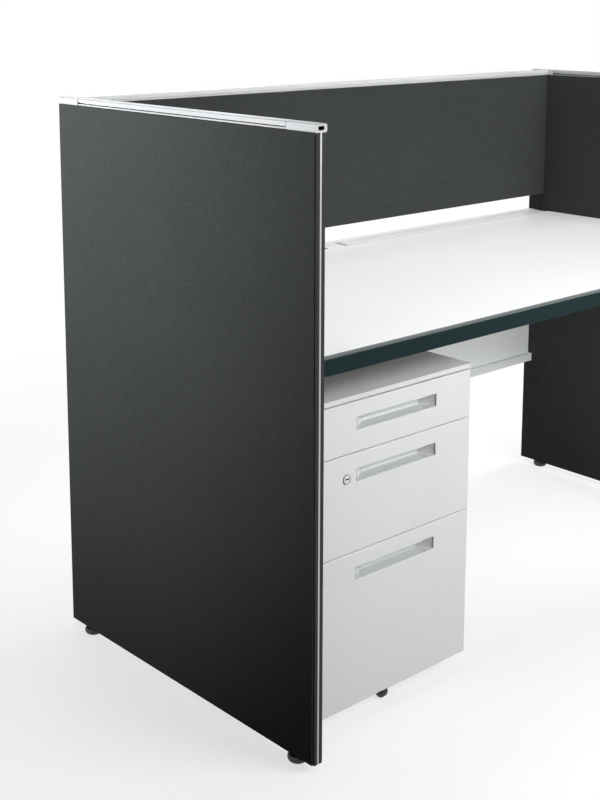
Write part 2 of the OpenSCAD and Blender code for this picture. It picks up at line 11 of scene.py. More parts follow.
import bmesh
import bpy
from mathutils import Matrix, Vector

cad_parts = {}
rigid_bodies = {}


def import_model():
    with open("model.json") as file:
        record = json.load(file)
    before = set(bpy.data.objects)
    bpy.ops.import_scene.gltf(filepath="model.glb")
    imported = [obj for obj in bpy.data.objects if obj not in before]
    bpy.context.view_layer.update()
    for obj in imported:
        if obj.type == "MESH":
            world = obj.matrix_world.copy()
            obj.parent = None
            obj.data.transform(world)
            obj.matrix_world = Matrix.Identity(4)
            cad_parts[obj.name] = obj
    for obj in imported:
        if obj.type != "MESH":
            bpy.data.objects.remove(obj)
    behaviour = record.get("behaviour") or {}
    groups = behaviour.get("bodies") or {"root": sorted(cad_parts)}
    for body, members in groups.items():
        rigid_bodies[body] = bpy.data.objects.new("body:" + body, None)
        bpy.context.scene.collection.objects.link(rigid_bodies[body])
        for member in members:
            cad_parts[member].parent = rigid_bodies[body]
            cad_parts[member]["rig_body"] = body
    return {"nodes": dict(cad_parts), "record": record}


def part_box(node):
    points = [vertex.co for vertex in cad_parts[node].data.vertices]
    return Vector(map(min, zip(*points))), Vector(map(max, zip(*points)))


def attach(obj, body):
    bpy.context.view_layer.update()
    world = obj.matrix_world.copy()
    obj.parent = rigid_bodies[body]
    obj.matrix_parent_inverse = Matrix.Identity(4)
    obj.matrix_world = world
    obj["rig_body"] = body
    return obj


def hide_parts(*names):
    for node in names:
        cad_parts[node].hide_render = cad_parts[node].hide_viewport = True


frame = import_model()
nodes = frame["nodes"]
scene = bpy.context.scene
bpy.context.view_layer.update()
slot_of = {s["node"]: s["material_slot"] for s in frame["record"]["subparts"]}

# %% [markdown]
# ## The camera
# The picture was taken from the front left, a little above the top rails, and its upright edges
# stay nearly parallel. A lens shift does that: the camera tilts down less, and the shift slides
# the picture back onto the desk. The place and the angles come from fitting the desk's straight
# edges. The picture is taller than wide, so the 36 mm of the sensor lie along its height.

# %% Set the camera
camera_data = bpy.data.cameras.new("desk_camera")
camera_data.sensor_width = 36.0
camera_data.lens = 59.96
camera_data.shift_y = -0.22
camera = bpy.data.objects.new("desk_camera", camera_data)
scene.collection.objects.link(camera)
camera.location = (-2.1441, -1.8658, 1.2946)
camera.rotation_euler = [math.radians(a) for a in (80.169, -0.138, -42.256)]
scene.camera = camera
scene.view_settings.view_transform = "Standard"
print(f"lens {camera_data.lens} mm, {camera.location.z:.2f} m above the floor")

# %% [markdown]
# ## Sums on sockets
# A finish is built from many small sums, such as one mask times another. Written as nodes, each
# sum takes several lines. The class below wraps a socket, so a sum can be written as a sum, and
# each operator adds its Math node. A measure, such as the distance from an axis, becomes a mask
# with step or near. Colours don't go through the class, because a Math node turns a colour grey:
# they are mixed with a Mix node.


# %% Wrap sockets, so that sums can be written down
class Wire:
    """A socket in a finish. A sum on it adds a Math node."""

    def __init__(self, finish, socket):
        self.finish, self.socket = finish, socket

    def calc(self, operation, *values):
        return self.finish.node(
            "ShaderNodeMath", {"operation": operation}, dict(enumerate(values))
        )

    def __add__(self, other):
        return self.calc("ADD", self, other)

    def __sub__(self, other):
        return self.calc("SUBTRACT", self, other)

    def __rsub__(self, other):
        return self.calc("SUBTRACT", other, self)

    def __mul__(self, other):
        return self.calc("MULTIPLY", self, other)

    __radd__ = __add__
    __rmul__ = __mul__

    def sine(self):
        return self.calc("SINE", self)

    def root(self):
        return self.calc("SQRT", self)

    def size(self):
        return self.calc("ABSOLUTE", self)

    def larger(self, other):
        return self.calc("MAXIMUM", self, other)

    def step(self, low, high):
        """Goes smoothly from 0 at low to 1 at high. With low above high it falls."""
        if low > high:
            return 1 - self.step(high, low)
        return self.finish.node(
            "ShaderNodeMapRange",
            {"interpolation_type": "SMOOTHSTEP"},
            {"Value": self, "From Min": low, "From Max": high},
        )

    def near(self, centre, reach, soft):
        """Is 1 within `reach` of the centre and falls to 0 over the next `soft`."""
        return (self - centre).size().step(reach + soft, reach)


# %% [markdown]
# ## One finish, one material
# Each finish starts from a plain surface shader. Settings that are the same all over go straight
# on the shader's sockets. What varies, such as a weave or a wear mark, is worked out from the
# piece's own coordinates, so it stays with the piece when a drawer opens.


# %% Describe a finish
class Finish:
    """A material with one surface shader, and short names for the nodes that feed it."""

    def __init__(self, name, **plain):
        self.material = bpy.data.materials.new(name)
        self.material.use_nodes = True
        self.tree = self.material.node_tree
        self.shader = self.tree.nodes["Principled BSDF"]
        for socket, value in plain.items():
            self.shader.inputs[socket.replace("_", " ")].default_value = value
        self.place = self.node("ShaderNodeTexCoord", output="Object")
        split = self.node("ShaderNodeSeparateXYZ", sockets={"Vector": self.place})
        self.x, self.y, self.z = (
            Wire(self, split.socket.node.outputs[axis]) for axis in "XYZ"
        )

    def node(self, kind, settings=None, sockets=None, output=0):
        """Adds a node: its settings first, then the values or wires of its sockets."""
        made = self.tree.nodes.new(kind)
        for name, value in (settings or {}).items():
            setattr(made, name, value)
        for name, value in (sockets or {}).items():
            if isinstance(value, Wire):
                self.tree.links.new(value.socket, made.inputs[name])
            else:
                made.inputs[name].default_value = value
        return Wire(self, made.outputs[output])

    def feed(self, socket, wire):
        self.tree.links.new(wire.socket, self.shader.inputs[socket])

    def fed(self, socket):
        """What already feeds a socket, so that more can be painted over it."""
        return Wire(self, self.shader.inputs[socket].links[0].from_socket)

    def noise(self, scale, detail=2.0, stretch=(1, 1, 1)):
        """A soft random pattern from 0 to 1, with `scale` lumps to the metre."""
        where = self.place
        if stretch != (1, 1, 1):
            where = self.node(
                "ShaderNodeMapping", sockets={"Vector": where, "Scale": stretch}
            )
        return self.node(
            "ShaderNodeTexNoise", sockets={"Vector": where, "Scale": scale, "Detail": detail}
        )

    def blend(self, mask, low, high):
        """A colour that goes from low to high with the mask."""
        sockets = {0: mask}
        for socket, colour in ((6, low), (7, high)):
            sockets[socket] = colour if isinstance(colour, Wire) else (*colour, 1)
        return self.node("ShaderNodeMix", {"data_type": "RGBA"}, sockets, output=2)

    def relief(self, height, depth):
        """Lets a height from 0 to 1 stand `depth` metres high in the light."""
        bump = self.node(
            "ShaderNodeBump", sockets={"Strength": 1.0, "Distance": depth, "Height": height}
        )
        self.feed("Normal", bump)


finishes = {}

# %% [markdown]
# ## Fabric
# The panels and the screen are covered with a plain-woven charcoal cloth. Close to, such a cloth
# shows threads that pass over and under each other, and thicker and thinner stretches in each
# thread. Two crossed sine waves make the weave. Noise that is drawn out along a thread makes the
# slubs. Both panels lie along an axis, so x + y counts across a panel and across the screen alike.

# %% Weave the fabric
THREAD = 0.0014


def fabric():
    cloth = Finish("charcoal_cloth", Roughness=0.95, Specular_IOR_Level=0.02)
    cloth.shader.inputs["Sheen Weight"].default_value = 0.04
    cloth.shader.inputs["Sheen Roughness"].default_value = 0.6
    across = cloth.x + cloth.y
    turns = 2 * math.pi / THREAD
    weave = (across * turns).sine() * (cloth.z * turns).sine() * 0.5 + 0.5
    upright = cloth.noise(900, 1.0, (1, 1, 0.04))
    level = cloth.noise(900, 1.0, (0.04, 0.04, 1))
    slubs = (upright + level) * 0.5
    cloudy = cloth.noise(3.5, 3.0)
    thread = cloth.blend(slubs.step(0.42, 0.60), (0.039, 0.043, 0.0425), (0.052, 0.057, 0.056))
    shaded = cloth.blend(weave * 0.35, thread, (0.028, 0.031, 0.0305))
    faded = cloth.blend(cloudy.step(0.35, 0.7) * 0.3, shaded, (0.052, 0.057, 0.056))
    cloth.feed("Base Color", faded)
    cloth.relief(weave * 0.6 + slubs * 0.4, 0.00035)
    return cloth


finishes["fabric_charcoal"] = fabric()
print(f"a thread every {THREAD * 1000 / 2:.1f} mm")

# %% [markdown]
# ## Coated metal
# Powder coating melts into a skin with a faint orange-peel texture, and it is never quite even.
# One function makes all of the coated finishes, since they differ only in colour, in gloss and in
# how coarse the skin is. Wide noise shifts the colour a little, as handling and dust do.


# %% Coat the metal
def coated(name, colour, roughness, peel=0.00006, grain=900, handled=0.06, shine=0.5):
    coat = Finish(name, Roughness=roughness, Specular_IOR_Level=shine)
    wide = coat.noise(5.0, 3.0)
    skin = coat.noise(grain, 1.0)
    fine = coat.noise(grain * 4, 1.0)
    darker = tuple(c * (1 - handled) for c in colour)
    dusted = coat.blend(wide.step(0.35, 0.65), colour, darker)
    speck = tuple(c * 0.90 for c in colour)
    coat.feed("Base Color", coat.blend(fine.step(0.62, 0.74) * 0.5, dusted, speck))
    coat.feed("Roughness", wide * 0.14 + (roughness - 0.07))
    coat.relief(skin * 0.8 + fine * 0.2, peel)
    return coat


finishes["post_grey"] = coated("post_coating", (0.034, 0.037, 0.037), 0.50, shine=0.12)
finishes["beam_dark"] = coated("beam_coating", (0.006, 0.019, 0.021), 0.50, grain=700, shine=0.08)
finishes["sheet_grey"] = coated("sheet_coating", (0.72, 0.745, 0.735), 0.45, shine=0.3)
finishes["pedestal_grey"] = coated("pedestal_coating", (0.80, 0.81, 0.805), 0.40, shine=0.3)
finishes["front_grey"] = coated("front_coating", (0.83, 0.84, 0.83), 0.38, 0.00004, 700, 0.03, 0.3)
print("coated:", *(name for name in finishes if name != "fabric_charcoal"))

# %% [markdown]
# ## Two-tone rails
# The rails on top of the panels share one coating, but the side rails are a cooler and deeper
# tone than the screen's rail. The side rails are painted paler towards the front as painted light,
# and the crown of each rail is painted darker than its sides as painted shade. Painted shade
# darkens the side rails' groove and fills the socket in each front block, and thin seams part the
# rails from the corner blocks. Each of these is picked out by its distance from the rail's own
# axis, so the same sums serve both side rails.


# %% Paint the rails
HALF_RAIL = 0.0125  # half of a side rail's width
BLOCK_START = 0.2976  # from the desk's middle to the seam of a corner block
NEARLY_BLACK = (0.006, 0.006, 0.007)


def two_tone_rail():
    low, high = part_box("left_rail_blocks")
    top = high.z
    rail = coated("rail_coating", (0.62, 0.635, 0.635), 0.42, shine=0.3)
    from_axis = rail.x.size() - (-low.x - HALF_RAIL)
    handled = rail.noise(5.0, 3.0).step(0.35, 0.65)
    side = rail.blend(handled, (0.46, 0.475, 0.49), (0.43, 0.445, 0.46))
    # Painted light: the side rails are painted paler towards the front, palest on the front blocks.
    side = rail.blend(rail.y.step(0.05, -0.32), side, (0.61, 0.625, 0.635))
    # Painted shade: the crown of every rail is painted darker than its sides.
    crown = rail.z.step(top - 0.0016, top - 0.0008)
    side = rail.blend(crown, side, (0.25, 0.26, 0.28))
    back = rail.blend(crown, rail.fed("Base Color"), (0.47, 0.48, 0.48))
    on_side = from_axis.step(-HALF_RAIL - 0.0003, -HALF_RAIL + 0.0003)
    metal = rail.blend(on_side, back, side)
    # Painted shade: the inside of each front block's socket is painted nearly black.
    behind_face = rail.y.step(low.y + 0.0002, low.y + 0.0010)
    socket_shade = from_axis.near(0, 0.0065, 0.0009) * rail.z.near(top - 0.007, 0.0035, 0.0009)
    # Painted shade: the side rails' groove is painted nearly black along the rail.
    groove = rail.z.near(top - 0.0093, 0.0008, 0.0003) * from_axis.near(0, 0.0112, 0.0006)
    groove_shade = groove * rail.y.near(0, BLOCK_START - 0.0006, 0.0004)
    seam = rail.y.size().near(BLOCK_START, 0.0005, 0.0004) * on_side
    dark = (socket_shade * behind_face).larger(groove_shade).larger(seam * 0.85)
    rail.feed("Base Color", rail.blend(dark, metal, NEARLY_BLACK))
    return rail


finishes["rail_white"] = two_tone_rail()
print(f"the rails' finish has {len(finishes['rail_white'].tree.nodes)} nodes")

# %% [markdown]
# ## Moulded plastic
# Small plastic parts come out of a mould with a fine spark-eroded grain. Rubbing polishes it, so
# the roughness dips in soft patches. The castor wheels are the same plastic with a polished mould,
# and dust from the floor greys their treads.


# %% Mould the plastic
def moulded(name, colour, roughness, depth=0.00008, dust=0.0):
    plastic = Finish(name, Roughness=roughness, Specular_IOR_Level=0.5)
    grain = plastic.noise(2600, 2.0)
    rubbed = plastic.noise(28, 2.0)
    tone = plastic.blend(grain.step(0.45, 0.7) * 0.4, colour, tuple(c * 0.8 for c in colour))
    if dust:
        pale = tuple(c + (0.30 - c) * 0.25 for c in colour)
        settled = plastic.noise(90, 3.0).step(0.35, 0.7) * plastic.z.step(0.012, 0.001) * dust
        tone = plastic.blend(settled, tone, pale)
    plastic.feed("Base Color", tone)
    plastic.feed("Roughness", rubbed.step(0.3, 0.7) * 0.16 + (roughness - 0.06))
    plastic.relief(grain, depth)
    return plastic


finishes["foot_black"] = moulded("foot_plastic", (0.012, 0.012, 0.013), 0.42, dust=0.5)
finishes["castor_black"] = moulded("castor_plastic", (0.014, 0.014, 0.015), 0.45, dust=0.4)
finishes["wheel_black"] = moulded("wheel_plastic", (0.010, 0.010, 0.011), 0.16, 0.00001, 0.8)
finishes["cover_white"] = moulded("cover_plastic", (0.80, 0.81, 0.805), 0.40)
finishes["hinge_grey"] = moulded("hinge_plastic", (0.33, 0.35, 0.35), 0.50)
print(f"{len(finishes)} finishes so far")

# %% [markdown]
# The three handle cups are moulded too. Their floors and their right sloping ends are painted a
# deeper tone as painted shade, and their left ends about a third as dark. The cups share one
# finish, so the floor is looked for at the height of each.


# %% Shade the handle cups
CUP_END = 0.069  # from a cup's middle to where its end slopes
CUPS = ("top_handle_cup", "middle_handle_cup", "file_handle_cup")


def shaded_cups():
    cup = moulded("cup_plastic", (0.76, 0.80, 0.78), 0.45)
    low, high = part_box("top_handle_cup")
    across = cup.x - (low.x + high.x) / 2
    # Painted shade: the right end, a third of it at the left end, and the floor of each cup.
    right_end_shade = across.step(CUP_END, CUP_END + 0.004)
    left_end_shade = across.step(-CUP_END, -CUP_END - 0.004) * 0.35
    floor_shade = sum(cup.z.near(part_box(name)[0].z + 0.003, 0.0025, 0.0020) for name in CUPS)
    toned = cup.blend(floor_shade, cup.fed("Base Color"), (0.52, 0.56, 0.545))
    cup.feed("Base Color", cup.blend(right_end_shade + left_end_shade, toned, (0.47, 0.475, 0.47)))
    return cup


finishes["cup_grey"] = shaded_cups()
print(f"{len(CUPS)} cups share {len(finishes['cup_grey'].tree.nodes)} nodes")

# %% [markdown]
# ## Bare and bright metal
# The strips are drawn aluminium: fine lines run along them. The steel fittings have a zinc skin
# with pale and dark blooms. The lock is turned on a lathe, which leaves rings round its centre, so
# the rings are counted from the lock's own axis. Painted shade darkens the groove round the plug
# and the rim of its housing, and the key slot is painted black as painted shade.


# %% Draw, plate and turn the metal
def drawn_aluminium():
    metal = Finish("drawn_aluminium", Metallic=1.0, Roughness=0.32)
    lines = metal.noise(2500, 2.0, (1, 1, 0.01))
    metal.feed("Base Color", metal.blend(lines, (0.36, 0.37, 0.37), (0.50, 0.51, 0.51)))
    metal.feed("Roughness", lines * 0.2 + 0.22)
    metal.relief(lines, 0.00003)
    return metal


def zinc_plate():
    metal = Finish("zinc_plate", Metallic=1.0, Roughness=0.4)
    bloom = metal.noise(45, 4.0)
    rolled = metal.noise(1600, 1.0, (1, 0.03, 1))
    zinc = metal.blend(bloom.step(0.35, 0.65), (0.50, 0.51, 0.51), (0.66, 0.67, 0.66))
    metal.feed("Base Color", zinc)
    metal.feed("Roughness", bloom * 0.25 + rolled * 0.1 + 0.22)
    metal.relief(rolled, 0.00002)
    return metal


def turned_chrome():
    low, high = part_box("lock_plug")
    metal = Finish("turned_chrome", Metallic=1.0, Roughness=0.12)
    across = metal.x - (low.x + high.x) / 2
    up = metal.z - (low.z + (high.x - low.x) / 2)
    out = (across * across + up * up).root()
    rings = (out * 9000).sine() * 0.5 + 0.5
    cloudy = metal.noise(300, 2.0)
    chrome = metal.blend(rings * 0.4, (0.70, 0.71, 0.72), (0.56, 0.57, 0.59))
    # Painted shade: the groove round the plug, the housing's rim and the key slot are painted dark.
    plug_groove_shade = out.near(0.0064, 0.0004, 0.0003) * 0.75
    housing_rim_shade = out.step(0.0078, 0.0086) * 0.9
    slot = up.near(0, 0.0012, 0.0004) * across.near(0, 0.0041, 0.0005)
    toned = metal.blend(plug_groove_shade.larger(housing_rim_shade), chrome, (0.10, 0.10, 0.105))
    metal.feed("Base Color", metal.blend(slot, toned, (0.01, 0.01, 0.01)))
    metal.feed("Roughness", cloudy * 0.12 + rings * 0.06 + 0.06)
    metal.relief(rings, 0.00001)
    return metal


finishes["bright_strip"] = drawn_aluminium()
finishes["bare_steel"] = zinc_plate()
finishes["lock_chrome"] = turned_chrome()
print(f"{len(finishes)} finishes with the metals")

# %% [markdown]
# ## The worktop
# The board is chipboard with a white laminate, closed at the front by a grey edge band. The
# laminate has a very fine pearl texture. The band is picked out by place: it starts where the
# board's front edge curves down, so it follows the rounding. In the same way a thin grey line is
# painted in front of each cable slot, as painted shade of the gap in front of the cover.

# %% Laminate the worktop
board_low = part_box("worktop_board")[0]


def laminate():
    board = Finish("white_laminate", Roughness=0.44, Specular_IOR_Level=0.2)
    pearl = board.noise(1800, 2.0)
    wide = board.noise(3.0, 3.0)
    white = board.blend(wide.step(0.3, 0.7), (0.87, 0.87, 0.865), (0.84, 0.845, 0.84))
    white = board.blend(pearl.step(0.55, 0.75) * 0.3, white, (0.79, 0.795, 0.79))
    front = board.y.step(board_low.y + 0.0022, board_low.y + 0.0008)
    below = board.z.step(board_low.z + 0.0015, board_low.z + 0.0004)
    streaks = board.noise(600, 1.0, (0.05, 1, 1))
    band = board.blend(streaks, (0.125, 0.15, 0.145), (0.155, 0.18, 0.175))
    for cover in ("left_cable_cover", "right_cable_cover"):
        low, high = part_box(cover)
        middle, reach = (low.x + high.x) / 2, (high.x - low.x) / 2 + 0.001
        # Painted shade: a thin grey line on the board in front of each cable cover's gap.
        slot_edge_shade = board.y.near(low.y - 0.0028, 0.0012, 0.0003) * board.x.near(middle, reach, 0.001)
        white = board.blend(slot_edge_shade, white, (0.30, 0.31, 0.31))
    white = board.blend(front, white, band)
    board.feed("Base Color", board.blend(below, white, (0.45, 0.44, 0.42)))
    board.feed("Roughness", pearl * 0.1 + wide * 0.1 + 0.34)
    board.relief(pearl, 0.00004)
    return board


def raw_board():
    chips = Finish("pressed_chips", Roughness=0.85)
    flakes = chips.node(
        "ShaderNodeTexVoronoi", {"feature": "F1"}, {"Vector": chips.place, "Scale": 420.0}, 1
    )
    tone = chips.node("ShaderNodeMix", {"data_type": "RGBA", "blend_type": "MULTIPLY"},
                      {0: 0.5, 6: (0.42, 0.31, 0.19, 1), 7: flakes}, 2)
    chips.feed("Base Color", chips.blend(chips.noise(150, 3.0), tone, (0.26, 0.18, 0.10)))
    chips.relief(chips.noise(700, 2.0), 0.0003)
    return chips


finishes["worktop_white"] = laminate()
finishes["board_core"] = raw_board()
print(f"{len(finishes)} finishes")

# %% [markdown]
# ## Handing the finishes out
# Every solid names the finish it was drawn for, so one loop dresses them all.

# %% Dress the solids
for name, solid in nodes.items():
    solid.data.materials.clear()
    solid.data.materials.append(finishes[slot_of[name]].material)
print(f"dressed {len(nodes)} solids")

# %% [markdown]
# ## Edges that catch the light
# No real edge is perfectly sharp. A folded sheet has a bend radius, lacquer rounds off a board,
# and cloth pulled round a sheet makes a soft corner. The solids keep their plain edges, so copies
# of the visible ones get a small bevel and stand in for them. A copy's loose triangles are merged
# first and its flat faces joined, otherwise the bevel would follow every triangle. Where bevels
# meet they can leave slivers, which are dissolved at the end.


# %% Round the edges of a copy
def finish_piece(name, mesh, body, slot):
    """Links a finished mesh, with its finish, to the body it rides on."""
    mesh.materials.clear()
    mesh.materials.append(finishes[slot].material)
    piece = bpy.data.objects.new(name, mesh)
    scene.collection.objects.link(piece)
    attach(piece, body)
    return piece


def weigh_normals(mesh):
    """Lets the large faces decide the shading, so they look flat up to their bevels."""
    name = mesh.name
    holder = bpy.data.objects.new("normals", mesh)
    scene.collection.objects.link(holder)
    weigh = holder.modifiers.new("weigh", "WEIGHTED_NORMAL")
    weigh.weight = 90
    weigh.keep_sharp = True
    ready = holder.evaluated_get(bpy.context.evaluated_depsgraph_get())
    made = bpy.data.meshes.new_from_object(ready)
    bpy.data.objects.remove(holder)
    bpy.data.meshes.remove(mesh)
    made.name = name
    return made


def soften(node, width, steps=2):
    """Stands a copy of a solid, with rounded edges, in its place."""
    copy = bmesh.new()
    copy.from_mesh(nodes[node].data)
    bmesh.ops.remove_doubles(copy, verts=copy.verts, dist=2e-6)
    bmesh.ops.dissolve_limit(
        copy, angle_limit=math.radians(0.5), verts=copy.verts, edges=copy.edges
    )
    sharp = [e for e in copy.edges if e.calc_face_angle(0) > math.radians(32)]
    bmesh.ops.bevel(
        copy, geom=sharp, offset=width, offset_type="OFFSET", segments=steps,
        profile=0.5, affect="EDGES", clamp_overlap=True,
    )
    bmesh.ops.triangulate(copy, faces=[f for f in copy.faces if len(f.verts) > 4])
    bmesh.ops.dissolve_degenerate(copy, dist=1e-6, edges=copy.edges)
    mesh = bpy.data.meshes.new(f"{node}_rounded")
    copy.to_mesh(mesh)
    copy.free()
    mesh.shade_smooth()
    mesh.set_sharp_from_angle(angle=math.radians(50))
    mesh = weigh_normals(mesh)
    piece = finish_piece(f"{node}_rounded", mesh, nodes[node]["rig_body"], slot_of[node])
    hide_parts(node)
    return len(mesh.polygons)


rounded = {
    "top_drawer_front": 0.0010, "middle_drawer_front": 0.0010, "file_drawer_front": 0.0010,
    "pedestal_top": 0.0007, "left_rail_blocks": 0.0008, "right_rail_blocks": 0.0008,
    "left_outer_cladding": 0.0012, "left_inner_cladding": 0.0012,
    "right_outer_cladding": 0.0012, "right_inner_cladding": 0.0012,
    "screen_front_cladding": 0.0012, "screen_rear_cladding": 0.0012,
    "top_handle_cup": 0.0005, "middle_handle_cup": 0.0005, "file_handle_cup": 0.0005,
}
for node, width in rounded.items():
    print(node, soften(node, width), "faces")

# %% [markdown]
# ## Small hardware
# Screws and rivets repeat all over the frame. Geometry Nodes place one head on every point of a
# list, turned to the direction that the point carries. The tree is built once for screws and once
# for rivets and balls. It ends by making the copies real, because an exported model drops
# instances.

# %% Build the trees that repeat a head on points
class Tree:
    """A geometry tree with named inputs."""

    def __init__(self, name, sizes):
        self.group = bpy.data.node_groups.new(name, "GeometryNodeTree")
        face = self.group.interface
        face.new_socket("Geometry", in_out="OUTPUT", socket_type="NodeSocketGeometry")
        face.new_socket("Points", in_out="INPUT", socket_type="NodeSocketGeometry")
        for size in sizes:
            face.new_socket(size, in_out="INPUT", socket_type="NodeSocketFloat")
        face.new_socket("Finish", in_out="INPUT", socket_type="NodeSocketMaterial")
        self.start = self.group.nodes.new("NodeGroupInput")

    def add(self, kind, settings=None, sockets=None):
        made = self.group.nodes.new(kind)
        for name, value in (settings or {}).items():
            setattr(made, name, value)
        for name, value in (sockets or {}).items():
            if isinstance(value, bpy.types.NodeSocket):
                self.group.links.new(value, made.inputs[name])
            else:
                made.inputs[name].default_value = value
        return made

    def size(self, name):
        return self.start.outputs[name]

    def times(self, name, factor):
        return self.add(
            "ShaderNodeMath", {"operation": "MULTIPLY"}, {0: self.size(name), 1: factor}
        ).outputs[0]

    def spread(self, item):
        """Puts the item on every point, facing the point's own way, and closes the tree."""
        facing = self.add(
            "GeometryNodeInputNamedAttribute", {"data_type": "FLOAT_VECTOR"}, {"Name": "facing"}
        )
        turn = self.add(
            "FunctionNodeAlignRotationToVector", {"axis": "Z"},
            {"Vector": facing.outputs["Attribute"]},
        )
        copies = self.add(
            "GeometryNodeInstanceOnPoints", None,
            {"Points": self.size("Points"), "Instance": item, "Rotation": turn.outputs[0]},
        )
        real = self.add("GeometryNodeRealizeInstances", None, {0: copies.outputs[0]})
        done = self.add(
            "GeometryNodeSetMaterial", None,
            {"Geometry": real.outputs[0], "Material": self.size("Finish")},
        )
        end = self.group.nodes.new("NodeGroupOutput")
        self.group.links.new(done.outputs[0], end.inputs[0])


# %% [markdown]
# A pan-head screw is a flattened ball, sunk to its middle, with a cross cut into it. A rivet is the
# same ball without the cross. Each size is an input of the tree, so one tree serves every screw.


# %% Draw a screw head and a rivet head
def squashed_ball(tree):
    ball = tree.add(
        "GeometryNodeMeshUVSphere", None,
        {"Segments": 20, "Rings": 8, "Radius": tree.size("Radius")},
    )
    ratio = tree.add(
        "ShaderNodeMath", {"operation": "DIVIDE"},
        {0: tree.size("Height"), 1: tree.size("Radius")},
    )
    flat = tree.add("ShaderNodeCombineXYZ", None, {0: 1.0, 1: 1.0, 2: ratio.outputs[0]})
    return tree.add(
        "GeometryNodeTransform", None,
        {"Geometry": ball.outputs["Mesh"], "Scale": flat.outputs[0]},
    ).outputs[0]


def screw_tree():
    tree = Tree("screws", ["Radius", "Height"])
    cut = tree.add(
        "GeometryNodeMeshBoolean", {"operation": "DIFFERENCE", "solver": "MANIFOLD"},
        {"Mesh 1": squashed_ball(tree)},
    )
    for across, along in ((0.22, 1.25), (1.25, 0.22)):
        size = tree.add(
            "ShaderNodeCombineXYZ", None,
            {0: tree.times("Radius", across), 1: tree.times("Radius", along),
             2: tree.size("Height")},
        )
        bar = tree.add("GeometryNodeMeshCube", None, {"Size": size.outputs[0]})
        lift = tree.add("ShaderNodeCombineXYZ", None, {2: tree.times("Height", 0.95)})
        up = tree.add(
            "GeometryNodeTransform", None,
            {"Geometry": bar.outputs["Mesh"], "Translation": lift.outputs[0]},
        )
        tree.group.links.new(up.outputs[0], cut.inputs["Mesh 2"])
    tree.spread(cut.outputs[0])
    return tree.group


def rivet_tree():
    tree = Tree("rivets", ["Radius", "Height"])
    tree.spread(squashed_ball(tree))
    return tree.group


screws, rivets = screw_tree(), rivet_tree()
print(f"trees of {len(screws.nodes)} and {len(rivets.nodes)} nodes")

# %% [markdown]
# The points are worked out from the solids' own boxes, so the hardware stays on what it fixes.


# %% Turn a tree and its points into one plain mesh
MM = 0.001


def repeat(name, body, slot, group, radius, height, points):
    """Runs a tree on a list of (place, direction) and keeps the result as a mesh."""
    seed = bpy.data.meshes.new(f"{name}_points")
    seed.from_pydata([Vector(p) * MM for p, _ in points], [], [])
    facing = seed.attributes.new("facing", "FLOAT_VECTOR", "POINT")
    for value, (_, direction) in zip(facing.data, points):
        value.vector = direction
    maker = bpy.data.objects.new(f"{name}_maker", seed)
    scene.collection.objects.link(maker)
    modifier = maker.modifiers.new("repeat", "NODES")
    modifier.node_group = group
    values = {"Radius": radius * MM, "Height": height * MM, "Finish": finishes[slot].material}
    for item in group.interface.items_tree:
        if item.in_out == "INPUT" and item.name in values:
            modifier[item.identifier] = values[item.name]
    maker.update_tag()
    ready = maker.evaluated_get(bpy.context.evaluated_depsgraph_get())
    mesh = bpy.data.meshes.new_from_object(ready)
    bpy.data.objects.remove(maker)
    mesh.shade_smooth()
    mesh.set_sharp_from_angle(angle=math.radians(35))
    finish_piece(name, mesh, body, slot)
    print(name, len(points), "heads,", len(mesh.polygons), "faces")


def box_mm(node):
    low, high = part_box(node)
    return low * 1000, high * 1000


# %% [markdown]
# ## Screws and rivets of the frame
# Each angle bracket behind the screen has two screws in each leg, and each one at the modesty panel
# has three. The heads lie on the bracket's sheet. The pedestal's back is riveted to its sides
# along both upright edges.

# %% Place the screws and rivets
SHEET = 2.5  # the brackets' thickness in mm
NEAR, FAR = 9, 26  # from the corner to the screws of the short and the long leg
SCREEN_SCREWS = (806, 826, 1012, 1032)  # heights, as in the next two
MODESTY_SCREWS = (462, 507, 552)
RIVETS = (60, 150, 240, 330, 420, 510, 590)

screen_back = box_mm("screen_rear_cladding")[1].y
panel_x = box_mm("angle_brackets")[1].x
modesty_front = box_mm("modesty_panel")[1].y - 1.5  # the panel is 1.5 mm thick
screw_points = []
for side in (-1, 1):
    inner, outer = side * (panel_x - SHEET), side * (panel_x - FAR)
    for z in SCREEN_SCREWS:
        screw_points.append(((inner, screen_back + NEAR, z), (-side, 0, 0)))
        screw_points.append(((outer, screen_back + SHEET, z), (0, 1, 0)))
    for z in MODESTY_SCREWS:
        screw_points.append(((inner, modesty_front - NEAR, z), (-side, 0, 0)))
        screw_points.append(((outer, modesty_front - SHEET, z), (0, -1, 0)))
repeat("bracket_screws", "desk", "bare_steel", screws, 3.8, 1.8, screw_points)

low, high = box_mm("pedestal_carcass")
rivet_points = [
    ((x, high.y, z), (0, 1, 0))
    for x in (low.x + 8, high.x - 8)
    for z in RIVETS
]
repeat("pedestal_rivets", "pedestal", "bare_steel", rivets, 2.6, 1.0, rivet_points)

# %% [markdown]
# ## Balls of the file drawer's slides
# The file drawer runs out all the way on two-stage slides. Rows of steel balls run in the gaps
# above and below each middle member, and they show when the drawer is open.

# %% Place the balls
BALL_RADIUS, BALL_GAP, BALLS_IN_A_ROW = 0.7, 9, 22

low, high = box_mm("file_slide_middle_rails")
ball_points = [
    ((x, low.y + 16 + BALL_GAP * i, z), (0, 0, 1))
    for x in (low.x + 4.5, high.x - 4.5)
    for z in (low.z - 0.72, high.z + 0.72)
    for i in range(BALLS_IN_A_ROW)
]
repeat(
    "slide_balls", "file_slide_middle_rails", "bare_steel", rivets, BALL_RADIUS, BALL_RADIUS,
    ball_points,
)

